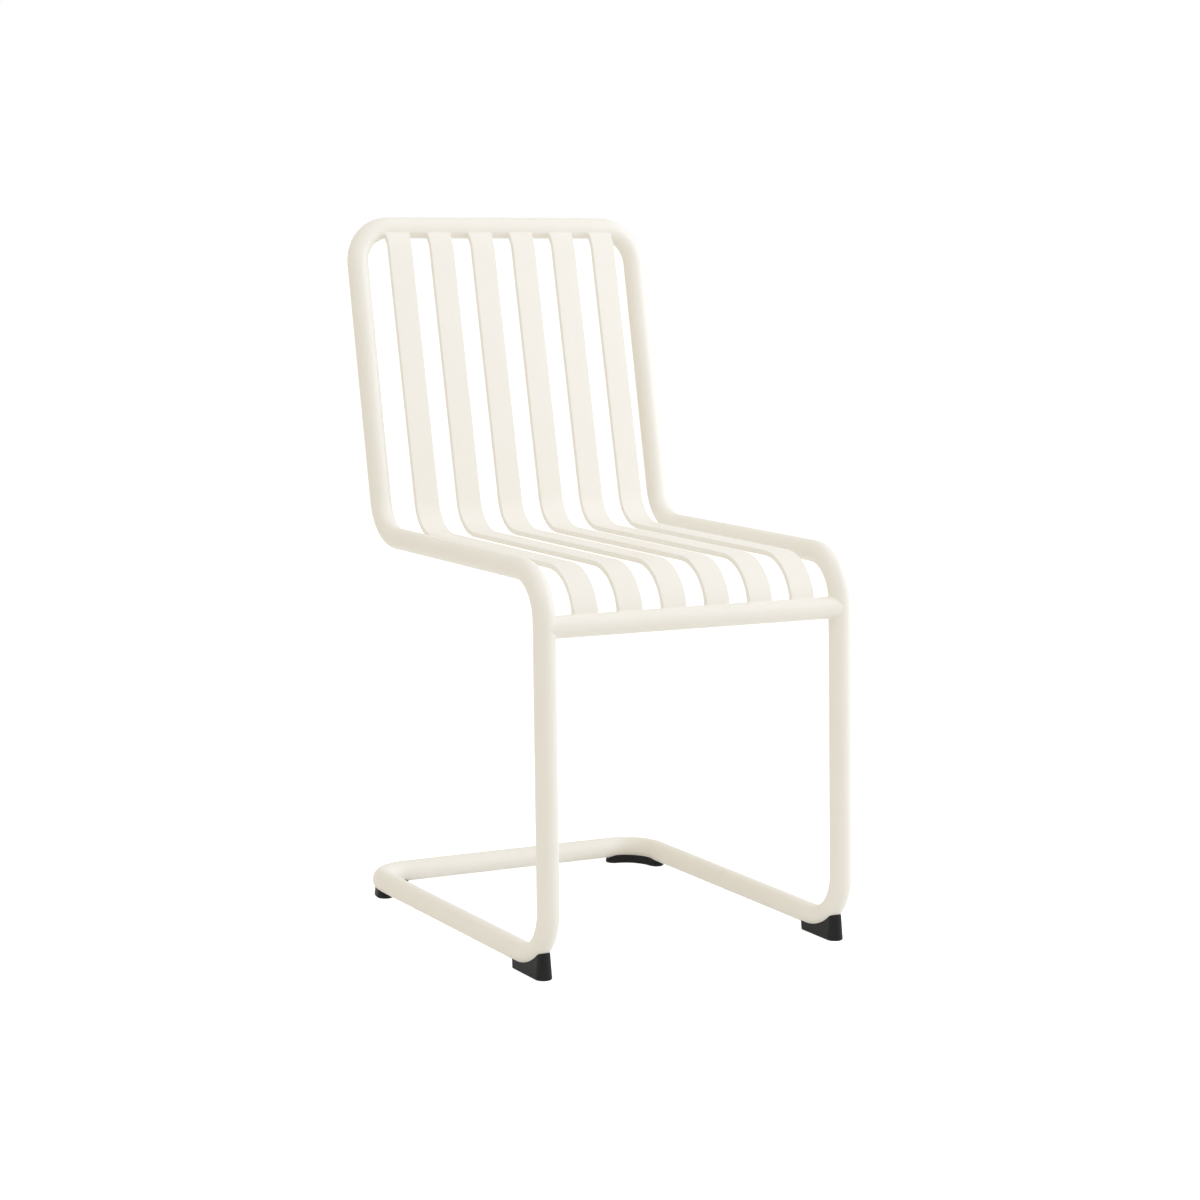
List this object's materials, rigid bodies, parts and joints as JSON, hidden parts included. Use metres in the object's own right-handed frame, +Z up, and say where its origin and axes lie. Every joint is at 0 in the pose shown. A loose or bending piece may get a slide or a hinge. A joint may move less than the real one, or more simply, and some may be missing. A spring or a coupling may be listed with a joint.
{
  "type": "outdoor cantilever chair",
  "caption": "Armless cantilever chair for outdoor use: a loop of bent round steel tube with formed flat slats for seat and back, on low plastic glides.",
  "frame": {"origin": "on the floor, midway across the chair's overall width and depth", "axes": "+X to the right as seen from the front, +Y to the rear, where the back leans, and +Z up"},
  "size_m": [0.401, 0.5299, 0.8066],
  "materials": {
    "powder_coat": "fine textured cream powder coat, satin",
    "bare_steel": "bare drawn tube",
    "black_plastic": "moulded black plastic, fine matte grain",
    "zinc_screws": "bright zinc plate"
  },
  "bodies": {
    "root": {"side_frame_left": "powder_coat", "side_frame_right": "powder_coat", "top_rail_sleeve": "bare_steel", "rear_rail_sleeve": "bare_steel", "front_crossbar": "powder_coat", "slat_1": "powder_coat", "slat_2": "powder_coat", "slat_3": "powder_coat", "slat_4": "powder_coat", "slat_5": "powder_coat", "slat_6": "powder_coat", "front_glide_left": "black_plastic", "front_glide_right": "black_plastic", "rear_glide_left": "black_plastic", "rear_glide_right": "black_plastic", "glide_screws": "zinc_screws"}
  },
  "joints": []
}
